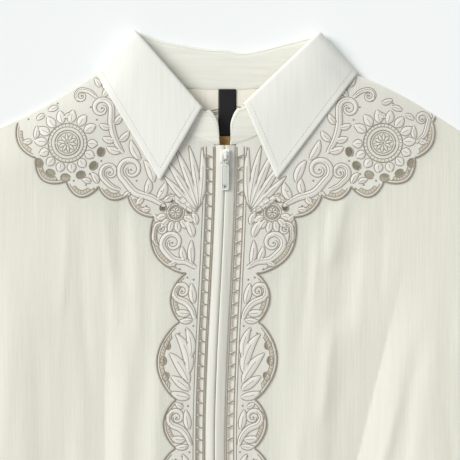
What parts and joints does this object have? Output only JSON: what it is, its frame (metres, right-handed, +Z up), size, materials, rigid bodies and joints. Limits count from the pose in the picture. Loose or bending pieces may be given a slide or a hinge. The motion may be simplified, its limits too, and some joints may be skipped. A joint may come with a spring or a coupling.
{
  "type": "zip-up shirt",
  "caption": "Long-sleeved zip-up shirt with a point collar, covered front zip and embroidered cutwork fronts, laid flat and face up.",
  "frame": {"origin": "on the surface that the shirt lies on, under the middle of the laid-out garment", "axes": "+X to the wearer's left and across both sleeves, +Y from the hem towards the collar, +Z up out of the front"},
  "size_m": [1.152, 0.6463, 0.0209],
  "materials": {
    "ivory_cotton": "light plain weave, matt with a faint sheen",
    "embroidered_cloth": "ivory cloth under taupe and ivory embroidery",
    "label_satin": "black woven satin",
    "clear_pull": "milky clear",
    "zip_metal": "ivory lacquer"
  },
  "bodies": {
    "shirt": {"back": "ivory_cotton", "front_left": "ivory_cotton", "front_right": "ivory_cotton", "cutwork_left": "embroidered_cloth", "cutwork_right": "embroidered_cloth", "sleeve_left": "ivory_cotton", "sleeve_right": "ivory_cotton", "collar_stand": "ivory_cotton", "collar_fall": "ivory_cotton", "zip_tape_left": "ivory_cotton", "zip_tape_right": "ivory_cotton", "zip_slider": "zip_metal", "neck_label": "label_satin"},
    "pull": {"zip_pull": "clear_pull"}
  },
  "joints": [
    {"name": "pull_swing", "type": "hinge", "parent": "shirt", "child": "pull", "pos_m": [0.00099, 0.202, 0.01845], "axis": [-1, 0, 0], "range_deg": [0, 135]}
  ]
}
